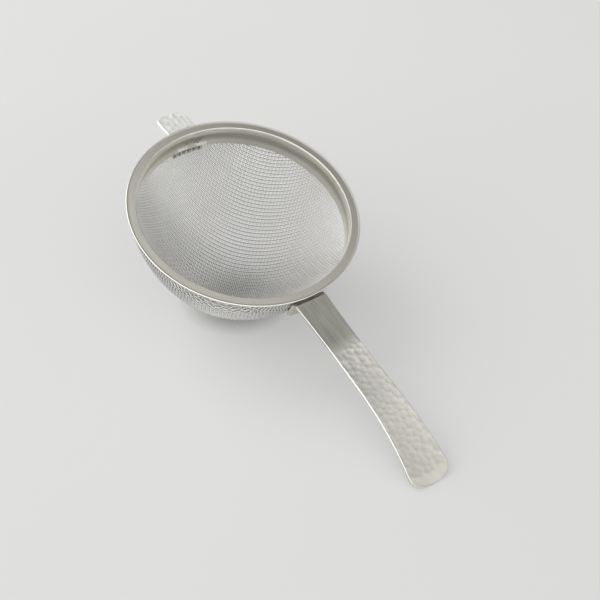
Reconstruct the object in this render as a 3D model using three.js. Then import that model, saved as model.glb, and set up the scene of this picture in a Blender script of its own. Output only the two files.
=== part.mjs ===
// Tea strainer: a two-layer woven bowl under a flanged rim, with a hammered strip handle and,
// opposite it, a short rest tab. Millimetres, +Z up. It lies as it does on a table: on the bottom of
// its bowl and on the tip of its handle, with the handle along +X.
import * as THREE from "three";

// The gap that touching pieces keep, and how finely round pieces are divided.
const pieceGap = 0.3;
const roundSegments = 60;

// Rim: one pressed ring with a flange on top and a skirt inside the mesh.
const skirtRadius = 34.6; // inner wall of the skirt
const flangeWidth = 3.4; // from that wall to the outer edge
const rimSheet = 0.35;
const crownBend = 0.7; // outside radius of the bend between skirt and flange
const beadRadius = 0.43; // of the edge, which is rolled under
const skirtDepth = 6.9;
const lipDepth = 1.7; // the skirt's last stretch, which turns inwards
const lipTurn = 0.3;

// Bowl: a fine mesh inside a coarse one.
const fineMesh = 0.25; // thickness of each woven layer
const coarseMesh = 0.4;
const bowlDepth = 42.5; // from the rim's edge to the outside of the bottom
const bowlFullness = 1.15; // 2 is an ellipse, and less is more pointed
const outlineSteps = 13;

// Strips: the handle and the tab are each bent from one flat strip and stand on a welded foot.
const handleSheet = 1.1;
const tabSheet = 1.0;
const footDepth = 9.0; // from the rim's edge to the foot's lower end
const footLean = THREE.MathUtils.degToRad(4); // inwards, with the bowl
const footBend = 2.2; // outside radius of the bend above the foot
const armDrop = 1.5; // from the rim's edge to the top of both strips
const armLength = 35.1; // straight stretch of the handle
const handleCurve = 79; // radius of the droop after it
const droopAngle = THREE.MathUtils.degToRad(23.8);
const handleWidth = 11.5; // at the rim
const handleWaist = 10.7; // at its narrowest
const waistPlace = 19; // how far the waist is from the foot's bend
const handleEnd = 15.2; // the width that the tip is rounded from
const tipLength = 5.6; // the stretch over which the tip is rounded
const tabLength = 8.6;
const tabWidth = 10.6;
const tabSlope = THREE.MathUtils.degToRad(8);
const tabTipLength = 3.0;
const tipSquareness = 2.66; // 2 rounds a tip as an ellipse, and more makes it squarer
const tipCut = 0.97; // the share of the rounding after which a tip is cut off straight
const stripColumns = 8;

// What follows from those sizes.
const rimRadius = skirtRadius + flangeWidth;
const skirtOuter = skirtRadius + rimSheet;
const bowlWall = skirtDepth - lipDepth / 2; // the bowl is straight down to the middle of the lip
const fineOuter = skirtOuter + pieceGap + fineMesh;
const coarseOuter = fineOuter + pieceGap + coarseMesh;
const meshTop = -rimSheet - pieceGap;
const footInside = coarseOuter + pieceGap;

function metal(color, roughness) {
  return new THREE.MeshStandardMaterial({ color, roughness, metalness: 1 });
}

function piece(name, geometry, material) {
  const mesh = new THREE.Mesh(geometry, material);
  mesh.name = name;
  return mesh;
}

// Turns an outline of [radius, height] pairs round the Z axis.
function turned(outline) {
  const points = outline.map(([r, z]) => new THREE.Vector2(r, z));
  return new THREE.LatheGeometry(points, roundSegments).rotateX(Math.PI / 2);
}

// Radius of the bowl at a height below the rim, for a wall that starts at wallRadius and ends at depth.
function bowlRadius(z, wallRadius, depth) {
  const share = (-z - bowlWall) / (depth - bowlWall);
  return share <= 0 ? wallRadius : wallRadius * Math.sqrt(Math.max(0, 1 - share ** bowlFullness));
}

// Half a section of one bowl surface, from the rim down to the axis.
function bowlOutline(wallRadius, depth) {
  const outline = [[wallRadius, meshTop]];
  for (let i = 0; i <= outlineSteps; i += 1) {
    const z = -bowlWall - (depth - bowlWall) * Math.sin((i / outlineSteps) * (Math.PI / 2));
    outline.push([i < outlineSteps ? bowlRadius(z, wallRadius, depth) : 0, z]);
  }
  return outline;
}

// One woven layer as a thin shell. outset is its distance from the outside of the coarse mesh.
function meshLayer(outerRadius, thickness) {
  const outset = coarseOuter - outerRadius;
  const outside = bowlOutline(outerRadius, bowlDepth - outset);
  const inside = bowlOutline(outerRadius - thickness, bowlDepth - outset - thickness);
  return turned([...outside.reverse(), ...inside]);
}

function arcPoints(centre, radius, fromDegrees, toDegrees, steps) {
  const points = [];
  for (let i = 0; i <= steps; i += 1) {
    const angle = THREE.MathUtils.degToRad(fromDegrees + ((toDegrees - fromDegrees) * i) / steps);
    points.push([centre[0] + radius * Math.cos(angle), centre[1] + radius * Math.sin(angle)]);
  }
  return points;
}

// Section of the rim: up the outside of the skirt, out under the flange, round the bead and back.
function rimSection() {
  const bendCentre = [skirtRadius + crownBend, -crownBend];
  const beadCentre = [rimRadius - beadRadius, -beadRadius];
  const lipTop = lipDepth - skirtDepth;
  return [
    [skirtRadius - lipTurn, -skirtDepth],
    [skirtOuter - lipTurn, -skirtDepth],
    [skirtOuter, lipTop],
    ...arcPoints(bendCentre, crownBend - rimSheet, 180, 90, 3),
    [beadCentre[0] - beadRadius, -rimSheet],
    ...arcPoints(beadCentre, beadRadius, 200, 270, 2),
    ...arcPoints(beadCentre, beadRadius, 300, 450, 5),
    ...arcPoints(bendCentre, crownBend, 90, 180, 4),
    [skirtRadius, lipTop],
    [skirtRadius - lipTurn, -skirtDepth],
  ];
}

// Stations along the strip's upper face, seen from the side: place, and the direction it runs in.
// Each run has a length, a turn that is negative where the strip bends downwards, and its own steps.
function stripStations(start, heading, runs) {
  const stations = [{ x: start[0], z: start[1], heading, run: 0 }];
  for (const { length, turn = 0, steps } of runs) {
    for (let i = 0; i < steps; i += 1) {
      const last = stations[stations.length - 1];
      const middle = last.heading + turn / steps / 2;
      const chord = turn ? (length / turn) * 2 * Math.sin(turn / steps / 2) : length / steps;
      stations.push({
        x: last.x + chord * Math.cos(middle),
        z: last.z + chord * Math.sin(middle),
        heading: last.heading + turn / steps,
        run: last.run + length / steps,
      });
    }
  }
  return stations;
}

// A bent strip with its foot wrapped round the bowl. halfWidth gives half its width at each station.
function bentStrip(stations, thickness, halfWidth, wrapEnd) {
  const positions = [];
  const indices = [];
  for (const station of stations) {
    const half = halfWidth(station.run);
    const wrap = Math.max(0, 1 - station.run / wrapEnd);
    for (const depth of [0, thickness]) {
      for (let j = 0; j <= stripColumns; j += 1) {
        const y = half * ((2 * j) / stripColumns - 1);
        const x = station.x + depth * Math.sin(station.heading);
        const z = station.z - depth * Math.cos(station.heading);
        positions.push(x - Math.min(1, 2 * wrap) * (x - Math.sqrt(x * x - y * y)), y, z);
      }
    }
  }
  const ring = 2 * (stripColumns + 1);
  const quad = (a, b, c, d) => indices.push(a, b, c, a, c, d);
  const lastRing = (stations.length - 1) * ring;
  for (let j = 0; j < stripColumns; j += 1) {
    for (let i = 0; i < lastRing; i += ring) {
      quad(i + j, i + ring + j, i + ring + j + 1, i + j + 1);
      const k = i + stripColumns + 1 + j;
      quad(k, k + 1, k + ring + 1, k + ring);
    }
    quad(j, j + 1, stripColumns + 2 + j, stripColumns + 1 + j);
    const end = lastRing + j;
    quad(end + 1, end, end + stripColumns + 1, end + stripColumns + 2);
  }
  for (let i = 0; i < lastRing; i += ring) {
    quad(i, i + stripColumns + 1, i + ring + stripColumns + 1, i + ring);
    quad(i + stripColumns, i + ring + stripColumns, i + ring + ring - 1, i + ring - 1);
  }
  const geometry = new THREE.BufferGeometry();
  geometry.setAttribute("position", new THREE.Float32BufferAttribute(positions, 3));
  geometry.setIndex(indices);
  geometry.computeVertexNormals();
  return geometry;
}

// Both strips start at the foot's lower end, run up the bowl and bend outwards under the flange.
// The leaning foot clears the bowl by the gap where the bowl's straight wall ends.
const footHeading = Math.PI / 2 - footLean;
const footRise = (footDepth - armDrop - footBend * Math.sin(footHeading)) / Math.cos(footLean);
const footStart = [footInside - (footDepth - bowlWall) * Math.tan(footLean), -footDepth];
const bendEnd = footRise + footBend * footHeading;

// The runs of a foot and its bend, after which the strip falls away at a slope.
function footRuns(slope) {
  const turn = -footHeading - slope;
  return [
    { length: footRise, steps: 2 },
    { length: footBend * -turn, turn, steps: 5 },
  ];
}

// Rounds the end of a strip: 1 up to the rounding, then down to nearly nothing.
function tipRounding(run, total, rounding) {
  const share = Math.min(tipCut, Math.max(0, (run - total + rounding) / rounding));
  return (1 - share ** tipSquareness) ** (1 / tipSquareness);
}

// The handle narrows to its waist and then widens to its tip, on one smooth curve on each side.
const handleRun = bendEnd + armLength + handleCurve * droopAngle;

function handleHalfWidth(run) {
  const along = Math.max(0, run - bendEnd);
  const before = (handleWidth - handleWaist) * (1 - along / waistPlace) ** 2;
  const after = (handleEnd - handleWaist) * ((along - waistPlace) / (handleRun - bendEnd - waistPlace)) ** 2;
  const width = handleWaist + (along < waistPlace ? before : after);
  return (width / 2) * tipRounding(run, handleRun, tipLength);
}

function handleStations() {
  const droopLength = handleCurve * droopAngle;
  return stripStations(footStart, footHeading, [
    ...footRuns(0),
    { length: armLength, steps: 5 },
    { length: droopLength - tipLength, turn: -droopAngle * (1 - tipLength / droopLength), steps: 5 },
    { length: tipLength, turn: (-droopAngle * tipLength) / droopLength, steps: 7 },
  ]);
}

function makeHandle() {
  return bentStrip(handleStations(), handleSheet, handleHalfWidth, bendEnd);
}

function makeTab() {
  const runs = [
    ...footRuns(tabSlope),
    { length: tabLength - tabTipLength, steps: 1 },
    { length: tabTipLength, steps: 5 },
  ];
  const stations = stripStations(footStart, footHeading, runs);
  const total = stations[stations.length - 1].run;
  const halfWidth = (run) => (tabWidth / 2) * tipRounding(run, total, tabTipLength);
  return bentStrip(stations, tabSheet, halfWidth, bendEnd).rotateZ(Math.PI);
}

// The angle at which the bowl and the underside of the handle's tip touch one level surface.
function restingTilt() {
  const stations = handleStations();
  const tip = stations[stations.length - 1];
  const tipX = tip.x + handleSheet * Math.sin(tip.heading);
  const tipZ = tip.z - handleSheet * Math.cos(tip.heading);
  const slopes = bowlOutline(coarseOuter, bowlDepth).map(([r, z]) => Math.atan2(tipZ - z, tipX - r));
  return Math.max(...slopes);
}

const strainer = new THREE.Group();
const levelParts = new THREE.Group();
levelParts.add(
  piece("rim_ring", turned(rimSection()), metal(0xa09d95, 0.35)),
  piece("inner_mesh", meshLayer(fineOuter, fineMesh), metal(0xc4c4c0, 0.4)),
  piece("outer_mesh", meshLayer(coarseOuter, coarseMesh), metal(0xb4b4ae, 0.4)),
  piece("handle", makeHandle(), metal(0xaaa79f, 0.3)),
  piece("rest_tab", makeTab(), metal(0xaeaca5, 0.3)),
);
levelParts.rotation.y = restingTilt();
strainer.add(levelParts);

// The origin is on the table, under the middle of the strainer's box.
const box = new THREE.Box3().setFromObject(strainer, true);
levelParts.position.set(-(box.min.x + box.max.x) / 2, 0, -box.min.z);

export default strainer;
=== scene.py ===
"""Looks of the tea strainer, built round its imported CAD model.

Shapes are worked out in the strainer's own level frame, in millimetres: the origin is the middle of the
rim's edge, +Z points out of the bowl's mouth and +X to the handle. place() turns them into the frame of
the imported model, in metres, where the strainer lies tilted on its bowl and on the handle's tip.
"""
import math

import bpy
import numpy as np
from mathutils import Matrix, Vector


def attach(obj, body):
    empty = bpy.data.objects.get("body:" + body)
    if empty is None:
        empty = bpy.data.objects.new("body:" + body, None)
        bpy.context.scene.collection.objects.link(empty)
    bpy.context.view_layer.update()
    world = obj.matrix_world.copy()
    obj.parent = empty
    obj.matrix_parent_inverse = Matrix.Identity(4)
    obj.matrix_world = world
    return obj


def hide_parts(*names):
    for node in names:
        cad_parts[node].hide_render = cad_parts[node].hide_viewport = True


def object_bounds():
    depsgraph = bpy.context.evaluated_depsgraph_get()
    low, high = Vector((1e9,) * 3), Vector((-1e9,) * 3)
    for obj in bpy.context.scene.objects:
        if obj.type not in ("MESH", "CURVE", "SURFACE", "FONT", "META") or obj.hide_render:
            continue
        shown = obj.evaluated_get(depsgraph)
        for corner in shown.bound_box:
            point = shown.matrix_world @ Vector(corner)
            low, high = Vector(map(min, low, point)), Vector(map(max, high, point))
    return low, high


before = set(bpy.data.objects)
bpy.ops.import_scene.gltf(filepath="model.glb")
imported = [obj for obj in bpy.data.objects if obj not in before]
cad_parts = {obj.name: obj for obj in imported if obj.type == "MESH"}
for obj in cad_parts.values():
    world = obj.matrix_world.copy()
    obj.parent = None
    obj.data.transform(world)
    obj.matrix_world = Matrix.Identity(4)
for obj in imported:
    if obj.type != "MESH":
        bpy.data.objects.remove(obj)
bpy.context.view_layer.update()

MM = 0.001

# Rim section
CROWN_BEND = 0.45
CROWN_DROP = 1.9
CROWN_FLATNESS = 1.4
WALL_GROOVE = 0.17
RIM_SHEET = 0.35
FLANGE_WIDTH = 3.4
GUTTER_DEPTH = 0.2
GUTTER_SIDE = 0.2
LIP_DEPTH = 1.7
LIP_TURN = 0.3
LIP_EDGE = 0.12
HEM_RADIUS = 0.25
HEM_LOWER_RADIUS = 0.2
HEM_SEAM = 0.1
HEM_TURN = 1.9
RIM_SEGMENTS = 512
RIM_LIGHT = (0.79, 0.77, 0.7)
RIM_DARK = (0.67, 0.65, 0.58)
RIM_ROUGHNESS = 0.34
SCRATCH_DEPTH = 0.006

# Painted shade in a band round the skirt's groove, as heights from the skirt's lower edge (0) to the rim's
# edge (1) and amounts
SKIRT_BAND_SHADE = (0.4, 0.39, 0.34)
SKIRT_BAND_SHADE_LEVELS = [(0.0, 0), (0.24, 0), (0.42, 0.75), (0.64, 1), (0.75, 0)]

# Spot welds: degrees from the strip's middle, height, half width, half height and depth of each mark.
# A patch's painted highlight spreads by so many degrees for each millimetre of its half width. Scorches, and
# the spots of painted shade on the wires in the dark slit under the skirt, are degrees from the strip's
# middle and heights.
WELD_PATCHES = [(-2.6, -5.8, 2.5, 0.65, 0.16), (9.2, -5.8, 2.0, 0.6, 0.16)]
WELD_PIT = (7.0, -5.3, 0.5, 0.42, 0.42)
WELD_DEPTH_LIMIT = 0.3
WELD_SPREAD = 0.9
WELD_STRIPS = [math.pi, 0.0]
SCORCHES = [(-0.5, -3.9), (2.6, -3.3), (5.4, -3.9), (7.8, -3.6)]
# Places of painted shade on the wires in the dark slit under the skirt
SLIT_SHADE_SPOTS = [(turn, -7.9) for turn in (-8.0, -4.8, -1.6, 1.6, 4.8, 8.0)]
# Painted highlight on the bright weld dents
WELD_DENT_HIGHLIGHT = (0.92, 0.9, 0.84)
SCORCHED_STEEL = (0.36, 0.33, 0.28)
# Painted shade in the weld pit
PIT_SHADE = (0.03, 0.025, 0.02)
# Painted shade for the wires in the dark slit under the skirt
SLIT_SHADE = (0.1, 0.09, 0.075)

# Woven bowl
BOWL_WALL = 6.05
BOWL_FULLNESS = 1.15
MESH_TOP = -0.75
NET_TURN = math.radians(45)
COARSE_WIRE = 0.45
COARSE_PITCH = 1.3
FINE_WIRE = 0.2
FINE_PITCH = 0.65
WIRE_ROUGHNESS = 0.42
WIRE_MARK_DEPTH = 0.004
# Each wire is painted lit on one half and in shade on the other: painted shade lies on the coarse wires'
# inner half and the fine wires' outer half, where the layers face each other
COARSE_LIT_SIDE = (0.66, 0.655, 0.635)
COARSE_SHADED_SIDE = (0.12, 0.12, 0.115)
FINE_LIT_SIDE = (1.0, 0.995, 0.975)
FINE_SHADED_SIDE = (0.96, 0.955, 0.935)

# Strips
HANDLE_SHEET = 1.1
TAB_SHEET = 1.0
FOOT_DEPTH = 9.0
FOOT_LEAN = math.radians(4)
FOOT_BEND = 2.2
FOOT_GAP = 0.3
ARM_TOP = -1.5
ARM_LENGTH = 35.1
HANDLE_CURVE = 79.0
DROOP = math.radians(23.8)
HANDLE_WIDTH = 11.5
HANDLE_WAIST = 10.7
WAIST_PLACE = 19.0
HANDLE_END = 15.2
TIP_LENGTH = 5.6
TAB_LENGTH = 8.6
TAB_WIDTH = 10.6
TAB_SLOPE = math.radians(8)
TAB_TIP_LENGTH = 3.0
TIP_SQUARENESS = 2.66
CUP_DEPTH = 0.3
CUP_RUN = 25.0
STRIP_EDGE = 0.28
STRIP_STEP = 0.26
STRIP_ACROSS = 60
BRUSHED_LIGHT = (0.76, 0.75, 0.68)
BRUSHED_DARK = (0.46, 0.45, 0.385)
BRUSHED_ROUGHNESS = 0.3
HANDLE_LIGHT = (0.86, 0.845, 0.785)
HANDLE_DARK = (0.7, 0.685, 0.63)
HANDLE_ROUGHNESS = 0.46
TAB_LIGHT = (0.93, 0.925, 0.89)
TAB_DARK = (0.84, 0.835, 0.8)
TAB_ROUGHNESS = 0.55

# Hammer marks
DENT_SPACING = 2.35
DENT_DEPTH = 0.12
DENT_SEED = 7
SMOOTH_RUN = 17.5
FIRST_BLOWS_RUN = 10.0
LATER_BLOWS = 0.42
TAB_BLOWS = 0.6
CREASE_FROM_TIP = 3.7
CREASE_TURN = math.radians(7)

# Painted shade: the handle's steel gets darker from one place along it to another
DIM_START = 52.0
DIM_END = 74.0
HANDLE_END_SHADE = (0.55, 0.53, 0.485)

# Camera and light
CAMERA_AZIMUTH = 52.948
CAMERA_ELEVATION = 39.486
CAMERA_ROLL = 1.444
CAMERA_DISTANCE = 377.959
CAMERA_AIM = (2.763, -4.297)
CAMERA_LENS = 72.0
FLOOR_REACH = 3.0
FLOOR_GLOW = 0.3
GLOW_START = 8.0
GLOW_FULL = 20.0
PAPER_DARK = (0.3, 0.3, 0.3)
PAPER_LIGHT = (0.315, 0.315, 0.31)
ROOM_DARK_SIDE = (-0.447, 0.745, 0.497)
ROOM_LEVELS = [(0, 0.9), (0.42, 0.97), (0.56, 0.45), (0.68, 0.26),
               (0.85, 0.25), (0.92, 0.15), (0.97, 0.1), (1, 0.08)]
ROOM_STRENGTH = 2.6
KEY_DIRECTION = (-0.75, -0.35, 0.85)
KEY_DISTANCE = 1.0
KEY_SIZE = 0.7
KEY_POWER = 4.0


# ---------------------------------------------------------------- the level frame

def node_points(node):
    """Every different vertex of a CAD node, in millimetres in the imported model's frame."""
    points = np.array([vertex.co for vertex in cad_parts[node].data.vertices], float) / MM
    return np.unique(points.round(4), axis=0)


def find_level_frame():
    """Origin and axes of the level frame, from the rim ring and the handle."""
    ring = node_points("rim_ring")
    centre = ring.mean(axis=0)
    up = np.linalg.svd(ring - centre, full_matrices=False)[2][2]
    up = up * np.sign(up[2])
    along = node_points("handle").mean(axis=0) - centre
    along = along - up * (along @ up)
    along = along / np.linalg.norm(along)
    rim_edge = ((ring - centre) @ up).max()
    return centre + up * rim_edge, np.stack([along, np.cross(up, along), up])


ORIGIN, AXES = find_level_frame()


def place(points):
    """Level-frame points in millimetres as packed-model points in metres."""
    return (ORIGIN + points @ AXES) * MM


def level_points(node):
    return (node_points(node) - ORIGIN) @ AXES.T


def widest(points):
    return np.hypot(points[:, 0], points[:, 1]).max()


RIM_RADIUS = widest(level_points("rim_ring"))
SKIRT_DEPTH = -level_points("rim_ring")[:, 2].min()
BOWL_OUTER = widest(level_points("outer_mesh"))
BOWL_DEPTH = -level_points("outer_mesh")[:, 2].min()
SKIRT_RADIUS = RIM_RADIUS - FLANGE_WIDTH
SKIRT_OUTER = SKIRT_RADIUS + RIM_SHEET
FOOT_INSIDE = BOWL_OUTER + FOOT_GAP


# ---------------------------------------------------------------- meshes

def grid_quads(rows, columns, closed):
    """Quads between the rows of a grid whose rows are closed loops, and quads that cap its ends."""
    last = rows if closed else rows - 1
    i, j = np.meshgrid(np.arange(last), np.arange(columns), indexing="ij")
    i, j = i.ravel(), j.ravel()
    here, there = j, (j + 1) % columns
    after = (i + 1) % rows
    quads = np.stack([i * columns + here, after * columns + here,
                      after * columns + there, i * columns + there], axis=1)
    marks = np.stack([np.stack([i, j], 1), np.stack([i + 1, j], 1),
                      np.stack([i + 1, j + 1], 1), np.stack([i, j + 1], 1)], axis=1)
    if closed:
        return quads, marks
    k = np.arange(columns // 2 - 1)
    first = np.stack([k, k + 1, columns - 2 - k, columns - 1 - k], axis=1)
    end = first[:, ::-1] + (rows - 1) * columns
    cap_marks = np.stack([first // columns, first % columns], axis=2)
    end_marks = np.stack([end // columns, end % columns], axis=2)
    return np.concatenate([quads, first, end]), np.concatenate([marks, cap_marks, end_marks])


def join_grids(grids):
    """Points, quads and UVs of grids of (points, lengths along, lengths around, closed)."""
    points, quads, uvs = [], [], []
    count = 0
    for grid, along, around, closed in grids:
        rows, columns = grid.shape[:2]
        faces, marks = grid_quads(rows, columns, closed)
        points.append(grid.reshape(-1, 3))
        quads.append(faces + count)
        uvs.append(np.stack([along[marks[..., 0]], around[marks[..., 1]]], axis=-1))
        count += rows * columns
    return np.concatenate(points), np.concatenate(quads), np.concatenate(uvs)


def make_piece(name, grids, material):
    """One mesh object from grids, whose lengths become its UVs."""
    points, quads, uvs = join_grids(grids)
    mesh = bpy.data.meshes.new(name)
    mesh.vertices.add(len(points))
    mesh.vertices.foreach_set("co", place(points).astype(np.float32).ravel())
    mesh.loops.add(quads.size)
    mesh.loops.foreach_set("vertex_index", quads.astype(np.int32).ravel())
    mesh.polygons.add(len(quads))
    mesh.polygons.foreach_set("loop_start", np.arange(0, quads.size, 4, dtype=np.int32))
    mesh.update(calc_edges=True)
    mesh.polygons.foreach_set("use_smooth", np.ones(len(quads), bool))
    layer = mesh.uv_layers.new(name="lengths")
    layer.data.foreach_set("uv", (uvs * MM).astype(np.float32).ravel())
    mesh.validate()
    piece = bpy.data.objects.new(name, mesh)
    bpy.context.scene.collection.objects.link(piece)
    mesh.materials.append(material)
    return piece


def lengths(points):
    """How far along a line of points each one is."""
    steps = np.linalg.norm(np.diff(points, axis=0), axis=1)
    return np.concatenate([[0.0], np.cumsum(steps)])


# ---------------------------------------------------------------- materials

def new_material(name, color, roughness):
    material = bpy.data.materials.new(name)
    material.use_nodes = True
    shader = material.node_tree.nodes["Principled BSDF"]
    shader.inputs["Base Color"].default_value = (*color, 1)
    shader.inputs["Metallic"].default_value = 1.0
    shader.inputs["Roughness"].default_value = roughness
    return material, shader


def add_node(material, kind, **values):
    """Adds a node and sets its properties, or its inputs where the name is an input's."""
    node = material.node_tree.nodes.new(kind)
    for key, value in values.items():
        if hasattr(node, key):
            setattr(node, key, value)
        else:
            node.inputs[key].default_value = value
    return node


def link(material, source, target):
    material.node_tree.links.new(source, target)


def stretched_noise(material, coordinates, scale, detail=3.0):
    """Noise over the mesh's UV lengths or its object coordinates, with its own scale on each axis."""
    place_node = add_node(material, "ShaderNodeTexCoord")
    mapping = add_node(material, "ShaderNodeMapping")
    mapping.inputs["Scale"].default_value = scale
    noise = add_node(material, "ShaderNodeTexNoise", Scale=1.0, Detail=detail, Roughness=0.6)
    link(material, place_node.outputs[coordinates], mapping.inputs["Vector"])
    link(material, mapping.outputs["Vector"], noise.inputs["Vector"])
    return noise.outputs["Fac"]


def span(material, source, low, high, start=0.3, end=0.7):
    """Maps a value from start..end to low..high."""
    node = add_node(material, "ShaderNodeMapRange")
    node.inputs["From Min"].default_value = start
    node.inputs["From Max"].default_value = end
    node.inputs["To Min"].default_value = low
    node.inputs["To Max"].default_value = high
    link(material, source, node.inputs["Value"])
    return node.outputs["Result"]


def blend_colors(material, amount, first, second):
    """A colour between two colours or colour sockets."""
    node = add_node(material, "ShaderNodeMix", data_type="RGBA")
    for socket, color in ((node.inputs[6], first), (node.inputs[7], second)):
        if isinstance(color, tuple):
            socket.default_value = (*color, 1)
        else:
            link(material, color, socket)
    link(material, amount, node.inputs[0])
    return node.outputs[2]


def tone_ramp(material, source, levels):
    """A grey that follows (position, level) pairs."""
    ramp = add_node(material, "ShaderNodeValToRGB")
    while len(ramp.color_ramp.elements) < len(levels):
        ramp.color_ramp.elements.new(0.5)
    for element, (position, level) in zip(ramp.color_ramp.elements, levels):
        element.position = position
        element.color = (level, level, level, 1)
    link(material, source, ramp.inputs["Fac"])
    return ramp.outputs["Color"]


def add_bump(material, shader, height, depth):
    bump = add_node(material, "ShaderNodeBump", Strength=1.0, Distance=depth)
    link(material, height, bump.inputs["Height"])
    link(material, bump.outputs["Normal"], shader.inputs["Normal"])


def brushed_steel(name, light, dark, roughness, scratch_scale):
    """Satin steel: fine scratches along the piece, and broad soft smudges."""
    material, shader = new_material(name, light, roughness)
    scratches = stretched_noise(material, "UV", scratch_scale)
    smudges = stretched_noise(material, "Object", (90, 90, 90), 2.0)
    base = blend_colors(material, span(material, scratches, 0, 1), dark, light)
    shade = blend_colors(material, span(material, smudges, 0, 0.35), base, dark)
    link(material, shade, shader.inputs["Base Color"])
    link(material, span(material, scratches, roughness - 0.07, roughness + 0.09), shader.inputs["Roughness"])
    add_bump(material, shader, scratches, SCRATCH_DEPTH * MM)
    return material, shader, shade


# ---------------------------------------------------------------- rim

def arc(centre, radius, start, end, steps):
    angles = np.radians(np.linspace(start, end, steps + 1))
    return np.stack([centre[0] + radius * np.cos(angles), centre[1] + radius * np.sin(angles)], axis=1)


def stretch(start, end, steps):
    return np.linspace(start, end, steps + 1)[1:-1]


def gutter():
    """Points across the flange's top, which slopes down from the bend to a groove along the hem."""
    start, end = SKIRT_RADIUS + CROWN_BEND, RIM_RADIUS - HEM_RADIUS
    share = np.linspace(1, 0, 18)[1:-1]
    dip = GUTTER_DEPTH * share * np.sin(math.pi / 2 * np.minimum(1, (1 - share) / GUTTER_SIDE))
    return np.stack([start + (end - start) * share, -dip], axis=1)


def skirt_wall(lip_top):
    """Points down the skirt's inner face, which has a shallow groove rolled round it."""
    share = np.linspace(0, 1, 16)[1:-1]
    radius = SKIRT_RADIUS + WALL_GROOVE * np.sin(math.pi * share) ** 2
    return np.stack([radius, -CROWN_DROP + (lip_top + CROWN_DROP) * share], axis=1)


def crown(centre, width, height, start, end, steps):
    """The bend between skirt and flange, which is flatter half way round than an ellipse."""
    round_points = arc((0, 0), 1, start, end, steps)
    return centre + np.sign(round_points) * np.abs(round_points) ** CROWN_FLATNESS * (width, height)


def rim_section():
    """Section of the rim: up outside the skirt, out under the flange, round the hem and back inside."""
    bend = (SKIRT_RADIUS + CROWN_BEND, -CROWN_DROP)
    hem = (RIM_RADIUS - HEM_RADIUS, -HEM_RADIUS)
    lower_height = -2 * HEM_RADIUS - HEM_LOWER_RADIUS + HEM_SEAM
    lower = (RIM_RADIUS - HEM_SEAM - HEM_LOWER_RADIUS, lower_height)
    lower_face = lower_height - HEM_LOWER_RADIUS
    lip_top = LIP_DEPTH - SKIRT_DEPTH
    inside, outside = SKIRT_RADIUS - LIP_TURN, SKIRT_OUTER - LIP_TURN
    edge = -SKIRT_DEPTH + LIP_EDGE
    under = -GUTTER_DEPTH - RIM_SHEET
    parts = [
        arc((outside - LIP_EDGE, edge), LIP_EDGE, -90, 0, 3),
        stretch((outside, edge), (SKIRT_OUTER, lip_top), 4),
        stretch((SKIRT_OUTER, lip_top), (SKIRT_OUTER, bend[1]), 6),
        crown(bend, CROWN_BEND - RIM_SHEET, CROWN_DROP + under, 180, 95, 8),
        stretch((bend[0], under), (RIM_RADIUS - HEM_TURN, under), 4),
        stretch((RIM_RADIUS - HEM_TURN, lower_face), (lower[0], lower_face), 3),
        arc(lower, HEM_LOWER_RADIUS, 270, 385, 7),
        arc(hem, HEM_RADIUS, -42, 84, 9),
        gutter(),
        crown(bend, CROWN_BEND, CROWN_DROP, 90, 180, 16),
        skirt_wall(lip_top),
        stretch((SKIRT_RADIUS, lip_top), (inside, edge), 6),
        arc((inside + LIP_EDGE, edge), LIP_EDGE, 180, 270, 3),
    ]
    return np.concatenate(parts)


def weld_dents(angles, radii, heights):
    """How far the welds push the skirt's inner face outwards."""
    depth = np.zeros_like(radii)
    for strip in WELD_STRIPS:
        for turn, height, half_width, half_height, dent in WELD_PATCHES + [WELD_PIT]:
            apart = (angles - strip + math.radians(turn) + math.pi) % (2 * math.pi) - math.pi
            share = (apart * SKIRT_RADIUS / half_width) ** 2 + ((heights - height) / half_height) ** 2
            depth += dent * np.exp(-share ** 2)
    return np.where(radii < SKIRT_RADIUS + RIM_SHEET / 2, np.minimum(depth, WELD_DEPTH_LIMIT), 0)


def point_by_strip(strip, turn, height, radius):
    """A point at an angle from the middle of a strip."""
    angle = strip - math.radians(turn)
    return place(np.array([radius * math.cos(angle), radius * math.sin(angle), height]))


def near_points(material, points, reach, raggedness):
    """1 at the points, fading to 0 a reach away with a ragged border."""
    coordinates = add_node(material, "ShaderNodeTexCoord").outputs["Object"]
    nearest = None
    for point in points:
        apart = add_node(material, "ShaderNodeVectorMath", operation="DISTANCE")
        apart.inputs[1].default_value = point
        link(material, coordinates, apart.inputs[0])
        value = apart.outputs["Value"]
        if nearest is not None:
            closer = add_node(material, "ShaderNodeMath", operation="MINIMUM")
            link(material, nearest, closer.inputs[0])
            link(material, value, closer.inputs[1])
            value = closer.outputs[0]
        nearest = value
    ragged = add_node(material, "ShaderNodeMath", operation="MULTIPLY_ADD")
    link(material, stretched_noise(material, "Object", (1400, 1400, 1400), 4.0), ragged.inputs[0])
    ragged.inputs[1].default_value = raggedness * MM
    link(material, nearest, ragged.inputs[2])
    start, end = 0.45 * reach + raggedness / 2, reach + raggedness / 2
    return span(material, ragged.outputs[0], 1, 0, start * MM, end * MM)


def painted_groove_shade(material):
    """Painted shade: 1 at the heights where the groove runs round the skirt, and 0 above and below it."""
    coordinates = add_node(material, "ShaderNodeTexCoord").outputs["Object"]
    height = add_node(material, "ShaderNodeVectorMath", operation="DOT_PRODUCT")
    height.inputs[1].default_value = AXES[2]
    link(material, coordinates, height.inputs[0])
    rim_height = float(ORIGIN @ AXES[2]) * MM
    share = span(material, height.outputs["Value"], 0, 1, rim_height - SKIRT_DEPTH * MM, rim_height)
    return tone_ramp(material, share, SKIRT_BAND_SHADE_LEVELS)


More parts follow.
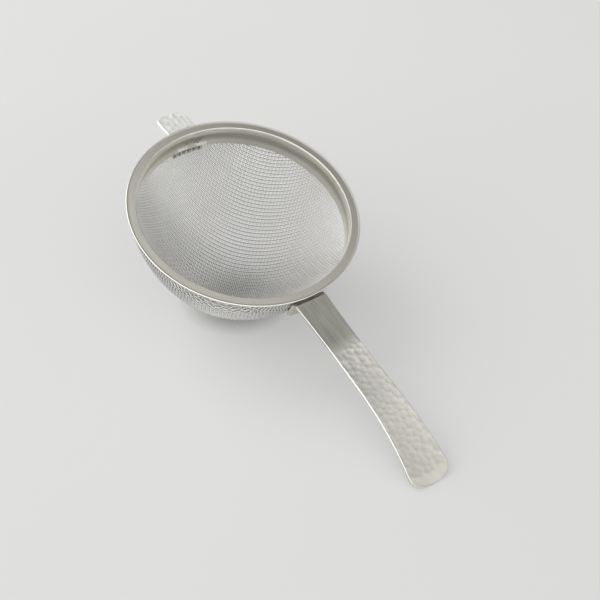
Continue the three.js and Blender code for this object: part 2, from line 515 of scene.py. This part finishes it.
def rim_steel():
    """Satin steel brushed round the ring, with painted highlights on the weld dents, painted shade in the
    weld pits and in a band round the skirt's groove, and scorches at the welds.
    """
    material, shader, shade = brushed_steel("rim_steel", RIM_LIGHT, RIM_DARK, RIM_ROUGHNESS, (60, 7000, 1))
    highlight_spots = []
    for strip in WELD_STRIPS:
        for turn, height, half_width, _, _ in WELD_PATCHES:
            for side in (-1, 0, 1):
                spot = turn + side * half_width * WELD_SPREAD
                highlight_spots.append(point_by_strip(strip, spot, height, SKIRT_RADIUS))
    scorched = [point_by_strip(strip, *mark, SKIRT_RADIUS) for strip in WELD_STRIPS for mark in SCORCHES]
    pits = [point_by_strip(strip, *WELD_PIT[:2], SKIRT_RADIUS) for strip in WELD_STRIPS]
    # Painted shade in a band round the skirt's groove
    shade = blend_colors(material, painted_groove_shade(material), shade, SKIRT_BAND_SHADE)
    color = blend_colors(material, near_points(material, scorched, 1.1, 2.4), shade, SCORCHED_STEEL)
    # Painted highlight on the weld dents' bright patches
    color = blend_colors(material, near_points(material, highlight_spots, 1.1, 0.5), color, WELD_DENT_HIGHLIGHT)
    # Painted shade darkens the weld pits
    color = blend_colors(material, near_points(material, pits, 0.55, 0.1), color, PIT_SHADE)
    link(material, color, shader.inputs["Base Color"])
    return material


def make_rim():
    section = rim_section()
    angles = np.linspace(0, 2 * math.pi, RIM_SEGMENTS, endpoint=False)
    angle, radius = np.meshgrid(angles, section[:, 0], indexing="ij")
    height = np.broadcast_to(section[:, 1], radius.shape)
    radius = radius + weld_dents(angle, radius, height)
    points = np.stack([radius * np.cos(angle), radius * np.sin(angle), height], axis=2)
    along = np.linspace(0, 2 * math.pi * RIM_RADIUS, RIM_SEGMENTS + 1)
    around = lengths(np.concatenate([section, section[:1]]))
    return make_piece("rim", [(points, along, around, True)], rim_steel())


# ---------------------------------------------------------------- woven bowl

def bowl_level(points, wall, depth):
    """A function that is 0 on the bowl's surface, and its slope, for points below the rim."""
    share = np.clip((-points[..., 2] - BOWL_WALL) / (depth - BOWL_WALL), 0, None)
    value = (points[..., 0] ** 2 + points[..., 1] ** 2) / wall ** 2 + share ** BOWL_FULLNESS - 1
    fall = -BOWL_FULLNESS * share ** (BOWL_FULLNESS - 1) / (depth - BOWL_WALL)
    return value, np.stack([2 * points[..., 0] / wall ** 2, 2 * points[..., 1] / wall ** 2, fall], axis=-1)


def meridian(wall, depth, pitch):
    """Points a pitch apart from the bowl's bottom up to the rim, as distances from the axis and heights."""
    turn = np.linspace(0, math.pi / 2, 2000)
    share = np.cos(turn)
    radius = wall * np.sqrt(np.clip(1 - share ** BOWL_FULLNESS, 0, None))
    height = -BOWL_WALL - (depth - BOWL_WALL) * share
    radius = np.append(radius, wall)
    height = np.append(height, 2 * pitch)
    run = lengths(np.stack([radius, height], axis=1))
    places = np.arange(0, run[-1], pitch)
    return np.interp(places, run, radius), np.interp(places, run, height)


def next_crossing(a, b, c, wall, depth, pitch):
    """Where the next two wires cross: on the bowl, a pitch from crossings a and b, and away from c."""
    guess = a + b - c
    point = guess.copy()
    for _ in range(7):
        value, slope = bowl_level(point, wall, depth)
        rows = np.stack([slope * wall, 2 * (point - a) / pitch, 2 * (point - b) / pitch], axis=1)
        miss = np.stack([value * wall,
                         ((point - a) ** 2).sum(axis=1) / pitch - pitch,
                         ((point - b) ** 2).sum(axis=1) / pitch - pitch], axis=1)
        rows = rows + 1e-6 * np.eye(3)
        step = np.linalg.solve(rows, miss[..., None])[..., 0]
        size = np.linalg.norm(step, axis=1, keepdims=True)
        point = point - step * np.minimum(1, 0.5 * pitch / np.maximum(size, 1e-9))
    value, slope = bowl_level(guess, wall, depth)
    pushed = guess - slope * (value / (slope ** 2).sum(axis=1))[:, None]
    failed = (np.linalg.norm(point - guess, axis=1) > pitch) | ~np.isfinite(point).all(axis=1)
    return np.where(failed[:, None], pushed, point)


def quarter_net(wall, depth, pitch):
    """Crossings of a quarter of a square net on the bowl, whose cells keep sides a pitch long."""
    radius, height = meridian(wall, depth, pitch)
    count = len(radius)
    quarter = np.zeros((count, count, 3))
    quarter[:, 0] = np.stack([radius, 0 * radius, height], axis=1)
    quarter[0, :] = np.stack([0 * radius, radius, height], axis=1)
    for total in range(2, 2 * count - 1):
        i = np.arange(max(1, total - count + 1), min(total, count))
        j = total - i
        quarter[i, j] = next_crossing(
            quarter[i - 1, j], quarter[i, j - 1], quarter[i - 1, j - 1], wall, depth, pitch)
    return quarter


def draped_net(wall, depth, pitch):
    """Crossings of the whole net draped on the bowl, turned to the strainer's weave."""
    quarter = quarter_net(wall, depth, pitch)
    count = len(quarter)
    net = np.zeros((2 * count - 1, 2 * count - 1, 3))
    index = np.arange(count)
    i, j = np.meshgrid(index, index, indexing="ij")
    for turns in range(4):
        x, y = [(i, j), (-j, i), (-i, -j), (j, -i)][turns]
        cos, sin = [(1, 0), (0, 1), (-1, 0), (0, -1)][turns]
        net[x + count - 1, y + count - 1] = np.stack(
            [cos * quarter[..., 0] - sin * quarter[..., 1],
             sin * quarter[..., 0] + cos * quarter[..., 1], quarter[..., 2]], axis=2)
    cos, sin = math.cos(NET_TURN), math.sin(NET_TURN)
    turned = net.copy()
    turned[..., 0] = cos * net[..., 0] - sin * net[..., 1]
    turned[..., 1] = sin * net[..., 0] + cos * net[..., 1]
    return turned


def runs_of(mask):
    """First and last index of each unbroken stretch of a mask."""
    edges = np.flatnonzero(np.diff(np.concatenate([[0], mask.astype(int), [0]])))
    return [(a, b) for a, b in zip(edges[::2], edges[1::2]) if b - a > 2]


def tube(path, normals, radius, sides):
    """A round wire along a path, as one grid."""
    ahead = np.gradient(path, axis=0)
    ahead = ahead / np.linalg.norm(ahead, axis=1, keepdims=True)
    side = np.cross(ahead, normals)
    side = side / np.linalg.norm(side, axis=1, keepdims=True)
    up = np.cross(side, ahead)
    angles = np.linspace(0, 2 * math.pi, sides, endpoint=False)
    ring = np.cos(angles)[None, :, None] * up[:, None] - np.sin(angles)[None, :, None] * side[:, None]
    along = lengths(path)
    around = np.linspace(0, 2 * math.pi * radius, sides + 1)
    return path[:, None] + radius * ring, along, around, False


def woven_wires(net, phase, wall, depth, wire, sides, samples):
    """The wires along one direction of the net, each passing over and under the ones that it crosses."""
    grids = []
    for k in range(net.shape[0]):
        line = net[k]
        for start, end in runs_of(line[:, 2] < MESH_TOP):
            marks = np.linspace(start, end - 1, (end - 1 - start) * samples + 1)
            path = np.stack([np.interp(marks, np.arange(len(line)), line[:, a]) for a in range(3)], axis=1)
            slope = bowl_level(path, wall, depth)[1]
            normal = slope / np.linalg.norm(slope, axis=1, keepdims=True)
            crimp = np.cos(math.pi * (marks + k + phase)) * wire / 2
            grids.append(tube(path + normal * crimp[:, None], normal, wire / 2, sides))
    return grids


def mesh_steel(name, light, shaded_side, wire, lit_outside):
    """Wire painted lit on one half and in shade on the other, which sets the weave off, with painted shade
    on the wires in the dark slit under the welds.
    """
    material, shader = new_material(name, light, WIRE_ROUGHNESS)
    split = add_node(material, "ShaderNodeSeparateXYZ")
    link(material, add_node(material, "ShaderNodeTexCoord").outputs["UV"], split.inputs["Vector"])
    round_wire = span(material, split.outputs["Y"], -1, 1, 0, math.pi * wire * MM)
    outward = add_node(material, "ShaderNodeMath", operation="ABSOLUTE")
    link(material, round_wire, outward.inputs[0])
    # Painted light and shade: which half of the wire is coloured lit and which half in painted shade
    edges = (1, 0, 0.35, 0.7) if lit_outside else (0, 1, 0.3, 0.65)
    stains = stretched_noise(material, "Object", (400, 400, 400), 4.0)
    worn = blend_colors(material, span(material, stains, 0, 1), light, tuple(0.93 * part for part in light))
    color = blend_colors(material, span(material, outward.outputs[0], *edges), worn, shaded_side)
    # Painted shade on the wires in the dark slit under the welds
    slit_shade_spots = [point_by_strip(strip, *mark, BOWL_OUTER - 1) for strip in WELD_STRIPS for mark in SLIT_SHADE_SPOTS]
    color = blend_colors(material, near_points(material, slit_shade_spots, 1.5, 0.5), color, SLIT_SHADE)
    link(material, color, shader.inputs["Base Color"])
    marks = stretched_noise(material, "UV", (1500, 9000, 1), 2.0)
    shine = span(material, marks, WIRE_ROUGHNESS - 0.07, WIRE_ROUGHNESS + 0.08)
    link(material, shine, shader.inputs["Roughness"])
    add_bump(material, shader, marks, WIRE_MARK_DEPTH * MM)
    return material


def make_layer(name, wall, depth, wire, pitch, sides, samples, material):
    """Warp and weft of one woven layer, as two pieces."""
    net = draped_net(wall, depth, pitch)
    warp = woven_wires(net, 0, wall, depth, wire, sides, samples)
    weft = woven_wires(net.transpose(1, 0, 2), 1, wall, depth, wire, sides, samples)
    return [make_piece(name + "_warp", warp, material), make_piece(name + "_weft", weft, material)]


# ---------------------------------------------------------------- strips

FOOT_HEADING = math.pi / 2 - FOOT_LEAN
FOOT_RISE = (FOOT_DEPTH + ARM_TOP - FOOT_BEND * math.sin(FOOT_HEADING)) / math.cos(FOOT_LEAN)
FOOT_START = (FOOT_INSIDE - (FOOT_DEPTH - BOWL_WALL) * math.tan(FOOT_LEAN), -FOOT_DEPTH)
BEND_END = FOOT_RISE + FOOT_BEND * FOOT_HEADING
DROOP_LENGTH = HANDLE_CURVE * DROOP
HANDLE_RUN = BEND_END + ARM_LENGTH + DROOP_LENGTH


def strip_line(places, headings, stations):
    """Centre line of a strip's upper face: x, z and heading at each station."""
    fine = np.arange(0, places[-1] + 0.02, 0.02)
    heading = np.interp(fine, places, headings)
    x = FOOT_START[0] + np.concatenate([[0], np.cumsum(np.cos((heading[1:] + heading[:-1]) / 2)) * 0.02])
    z = FOOT_START[1] + np.concatenate([[0], np.cumsum(np.sin((heading[1:] + heading[:-1]) / 2)) * 0.02])
    return [np.interp(stations, fine, values) for values in (x, z, heading)]


def tip_rounding(run, total, rounding):
    share = np.clip((run - total + rounding) / rounding, 0, 1)
    return (1 - share ** TIP_SQUARENESS) ** (1 / TIP_SQUARENESS)


def handle_half_width(run):
    along = np.maximum(0, run - BEND_END)
    before = (HANDLE_WIDTH - HANDLE_WAIST) * (1 - along / WAIST_PLACE) ** 2
    after = (HANDLE_END - HANDLE_WAIST) * (
        (along - WAIST_PLACE) / (HANDLE_RUN - BEND_END - WAIST_PLACE)) ** 2
    width = HANDLE_WAIST + np.where(along < WAIST_PLACE, before, after)
    return width / 2 * tip_rounding(run, HANDLE_RUN, TIP_LENGTH)


def stations_to(total, rounding):
    """Stations along a strip, closer together towards its rounded tip."""
    straight = np.arange(0, total - rounding, STRIP_STEP)
    turn = np.linspace(0, math.pi / 2, 34)
    return np.concatenate([straight, total - rounding + rounding * np.sin(turn)])


def hammer_field(run, across, seed):
    """Height of a face beaten with a round hammer: shallow dents that meet in ridges."""
    draws = np.random.default_rng(seed)
    rows = int(run.max() / DENT_SPACING) + 3
    columns = int(np.abs(across).max() * 2 / DENT_SPACING) + 4
    i, j = np.meshgrid(np.arange(rows), np.arange(columns), indexing="ij")
    centres = np.stack([(i + 0.5 * (j % 2)) * DENT_SPACING,
                        (j - columns / 2) * DENT_SPACING * 0.87], axis=-1).reshape(-1, 2)
    centres = centres + draws.uniform(-0.32, 0.32, centres.shape) * DENT_SPACING
    depths = draws.uniform(0, 0.5, len(centres)) * DENT_DEPTH
    height = np.full(run.shape, 9.0)
    curve = DENT_DEPTH / (DENT_SPACING / 2) ** 2
    for (u, v), depth in zip(centres, depths):
        height = np.minimum(height, curve * ((run - u) ** 2 + (across - v) ** 2) - depth)
    return np.minimum(height, DENT_DEPTH) - DENT_DEPTH


def edge_drop(half, across, run, stations):
    """How far the rounded edges of a strip fall below its face."""
    taper = np.gradient(half, stations)
    from_edge = (half[:, None] - np.abs(across)) / np.sqrt(1 + taper[:, None] ** 2)
    from_edge = np.minimum(from_edge, run)
    inset = np.clip(STRIP_EDGE - from_edge, 0, STRIP_EDGE)
    return STRIP_EDGE - np.sqrt(STRIP_EDGE ** 2 - inset ** 2)


def strip_grid(total, rounding, half_width, line, sheet, top_marks):
    """A bent strip with rounded edges and a hollowed upper face, its foot wrapped round the bowl."""
    stations = stations_to(total, rounding)
    x, z, heading = strip_line(*line, stations)
    half = np.maximum(half_width(stations), 0.02)
    share = np.linspace(-1, 1, STRIP_ACROSS + 1)
    share = share * (1.3 - 0.3 * share ** 2)
    across = half[:, None] * share
    run = np.broadcast_to(stations[:, None], across.shape)
    drop = edge_drop(half, across, run, stations)
    wrap = np.clip(2 * (1 - run / BEND_END), 0, 1)
    cupped = np.clip((run - BEND_END) / CUP_RUN, 0, 1) * CUP_DEPTH * (1 - share ** 2)
    faces = []
    for depth in (drop - top_marks(run, across) + cupped, sheet - drop):
        px = x[:, None] + depth * np.sin(heading)[:, None]
        pz = z[:, None] - depth * np.cos(heading)[:, None]
        curl = px - np.sqrt(np.maximum(px ** 2 - across ** 2, 0))
        faces.append(np.stack([px - wrap * curl, across, pz], axis=2))
    grid = np.concatenate([faces[0], faces[1][:, ::-1]], axis=1)
    middle = len(stations) // 2
    around = lengths(np.concatenate([grid[middle], grid[middle][:1]]))
    return grid, stations, around, False


def handle_marks(run, across):
    """Hammer marks on the handle's upper face, which start after a smooth stretch, and the bent tip."""
    start = BEND_END + SMOOTH_RUN - 0.35 * across
    amount = np.clip((run - start) / 2.5, 0, 1)
    crease = np.maximum(0, run - HANDLE_RUN + CREASE_FROM_TIP + 0.02 * across ** 2)
    calm = np.clip(1 - crease / 0.8, 0.25, 1)
    blows = LATER_BLOWS + (1 - LATER_BLOWS) * np.exp(-((run - start) / FIRST_BLOWS_RUN) ** 2)
    dents = amount * calm * blows * hammer_field(run, across, DENT_SEED)
    return dents - crease * math.tan(CREASE_TURN)


def tab_marks(run, across):
    amount = np.clip((run - BEND_END) / 2.0, 0, 1)
    return amount * TAB_BLOWS * hammer_field(run, across, DENT_SEED + 1)


def handle_line():
    places = [0, FOOT_RISE, BEND_END, BEND_END + ARM_LENGTH, HANDLE_RUN]
    return places, [FOOT_HEADING, FOOT_HEADING, 0, 0, -DROOP]


def strip_steel(name, smooth_run, dark, light, roughness):
    """Brushed steel up to a run along the strip, then paler beaten steel that painted shade darkens far
    along it.
    """
    material, shader, shade = brushed_steel(
        name, BRUSHED_LIGHT, BRUSHED_DARK, BRUSHED_ROUGHNESS, (70, 2000, 1))
    split = add_node(material, "ShaderNodeSeparateXYZ")
    link(material, add_node(material, "ShaderNodeTexCoord").outputs["UV"], split.inputs["Vector"])
    run = split.outputs["X"]
    beaten = span(material, run, 0, 1, (smooth_run - 2) * MM, (smooth_run + 3) * MM)
    marks = stretched_noise(material, "UV", (900, 900, 1), 4.0)
    pale = blend_colors(material, span(material, marks, 0, 1), dark, light)
    # Painted shade darkens the handle towards its end
    end_shade = span(material, run, 0, 1, DIM_START * MM, DIM_END * MM)
    pale = blend_colors(material, end_shade, pale, HANDLE_END_SHADE)
    link(material, blend_colors(material, beaten, shade, pale), shader.inputs["Base Color"])
    link(material, span(material, beaten, BRUSHED_ROUGHNESS, roughness, 0, 1), shader.inputs["Roughness"])
    return material


def make_handle(material):
    grid = strip_grid(HANDLE_RUN, TIP_LENGTH, handle_half_width, handle_line(), HANDLE_SHEET, handle_marks)
    return make_piece("handle_strip", [grid], material)


def make_tab(material):
    bend_run = FOOT_BEND * (FOOT_HEADING + TAB_SLOPE)
    total = FOOT_RISE + bend_run + TAB_LENGTH
    line = [0, FOOT_RISE, FOOT_RISE + bend_run, total], [FOOT_HEADING, FOOT_HEADING, -TAB_SLOPE, -TAB_SLOPE]

    def half_width(run):
        return TAB_WIDTH / 2 * tip_rounding(run, total, TAB_TIP_LENGTH)

    grid, along, around, closed = strip_grid(
        total, TAB_TIP_LENGTH, half_width, line, TAB_SHEET, tab_marks)
    grid = grid * np.array([-1, -1, 1])
    return make_piece("rest_tab_strip", [(grid, along, around, closed)], material)


# ---------------------------------------------------------------- stage, light and camera

def make_floor():
    """Pale paper. It glows a little, so that its shadows stay faint, and the glow fades out right under the
    bowl as a painted contact shadow.
    """
    mesh = bpy.data.meshes.new("floor")
    corners = [(x * FLOOR_REACH, y * FLOOR_REACH, 0) for x, y in ((-1, -1), (1, -1), (1, 1), (-1, 1))]
    mesh.from_pydata(corners, [], [(0, 1, 2, 3)])
    floor = bpy.data.objects.new("floor", mesh)
    bpy.context.scene.collection.objects.link(floor)
    material, shader = new_material("floor_paper", (0.5, 0.5, 0.5), 0.7)
    shader.inputs["Metallic"].default_value = 0.0
    shader.inputs["Specular IOR Level"].default_value = 0.2
    shader.inputs["Emission Color"].default_value = (1, 1, 0.99, 1)
    bowl = node_points("outer_mesh")
    stand = Vector(bowl[bowl[:, 2].argmin()] * MM)
    apart = add_node(material, "ShaderNodeVectorMath", operation="DISTANCE")
    apart.inputs[1].default_value = stand
    link(material, add_node(material, "ShaderNodeTexCoord").outputs["Object"], apart.inputs[0])
    # The glow's fade round the bowl's foot is a painted contact shadow
    glow = span(material, apart.outputs["Value"], 0, FLOOR_GLOW, GLOW_START * MM, GLOW_FULL * MM)
    link(material, glow, shader.inputs["Emission Strength"])
    tone = stretched_noise(material, "Object", (3, 3, 3), 2.0)
    pale = blend_colors(material, span(material, tone, 0, 1), PAPER_DARK, PAPER_LIGHT)
    link(material, pale, shader.inputs["Base Color"])
    mesh.materials.append(material)


def make_world():
    """A bright room that is darker on one side, so that flat steel facing it reads grey."""
    world = bpy.data.worlds.new("room")
    world.use_nodes = True
    bpy.context.scene.world = world
    background = world.node_tree.nodes["Background"]
    coordinates = add_node(world, "ShaderNodeTexCoord")
    toward = add_node(world, "ShaderNodeVectorMath", operation="DOT_PRODUCT")
    toward.inputs[1].default_value = Vector(ROOM_DARK_SIDE).normalized()
    link(world, coordinates.outputs["Generated"], toward.inputs[0])
    room = tone_ramp(world, span(world, toward.outputs["Value"], 0, 1, -1, 1), ROOM_LEVELS)
    link(world, room, background.inputs["Color"])
    background.inputs["Strength"].default_value = ROOM_STRENGTH


def make_light(name, direction, distance, size, power):
    light = bpy.data.lights.new(name, "AREA")
    light.shape = "DISK"
    light.size = size
    light.energy = power
    lamp = bpy.data.objects.new(name, light)
    away = Vector(direction).normalized()
    lamp.location = away * distance
    lamp.rotation_mode = "QUATERNION"
    lamp.rotation_quaternion = away.to_track_quat("Z", "Y")
    bpy.context.scene.collection.objects.link(lamp)


def make_camera():
    """A camera that looks past the middle of the strainer's box, at the height and turn of the picture."""
    low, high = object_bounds()
    azimuth, elevation = math.radians(CAMERA_AZIMUTH), math.radians(CAMERA_ELEVATION)
    back = Vector((math.sin(azimuth) * math.cos(elevation), -math.cos(azimuth) * math.cos(elevation),
                   math.sin(elevation)))
    right = Vector((0, 0, 1)).cross(back).normalized()
    up = back.cross(right)
    data = bpy.data.cameras.new("camera")
    data.lens = CAMERA_LENS
    camera = bpy.data.objects.new("camera", data)
    aim = right * CAMERA_AIM[0] + up * CAMERA_AIM[1]
    camera.location = (low + high) / 2 + (aim + back * CAMERA_DISTANCE) * MM
    roll = Matrix.Rotation(math.radians(CAMERA_ROLL), 3, "Z")
    axes = Matrix((right, up, back)).transposed() @ roll
    camera.rotation_mode = "QUATERNION"
    camera.rotation_quaternion = axes.to_quaternion()
    data.clip_start = 0.01
    bpy.context.scene.collection.objects.link(camera)
    bpy.context.scene.camera = camera


def settle(piece, node):
    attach(piece, "root")
    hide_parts(node)


def make_bowl():
    """The coarse layer outside and the fine layer just inside it."""
    coarse = mesh_steel("coarse_wire_steel", COARSE_LIT_SIDE, COARSE_SHADED_SIDE, COARSE_WIRE, True)
    fine = mesh_steel("fine_wire_steel", FINE_LIT_SIDE, FINE_SHADED_SIDE, FINE_WIRE, False)
    coarse_wall = BOWL_OUTER - COARSE_WIRE
    fine_inset = COARSE_WIRE + FINE_WIRE
    for piece in make_layer("outer_mesh", coarse_wall, BOWL_DEPTH - COARSE_WIRE,
                            COARSE_WIRE, COARSE_PITCH, 6, 2, coarse):
        settle(piece, "outer_mesh")
    for piece in make_layer("inner_mesh", coarse_wall - fine_inset, BOWL_DEPTH - COARSE_WIRE - fine_inset,
                            FINE_WIRE, FINE_PITCH, 4, 1, fine):
        settle(piece, "inner_mesh")


def make_strips():
    handle_steel = strip_steel(
        "handle_steel", BEND_END + SMOOTH_RUN, HANDLE_DARK, HANDLE_LIGHT, HANDLE_ROUGHNESS)
    tab_steel = strip_steel("tab_steel", FOOT_RISE, TAB_DARK, TAB_LIGHT, TAB_ROUGHNESS)
    settle(make_handle(handle_steel), "handle")
    settle(make_tab(tab_steel), "rest_tab")


def main():
    make_camera()
    make_floor()
    make_world()
    make_light("key", KEY_DIRECTION, KEY_DISTANCE, KEY_SIZE, KEY_POWER)
    bpy.context.scene.view_settings.view_transform = "Standard"
    settle(make_rim(), "rim_ring")
    make_bowl()
    make_strips()


main()
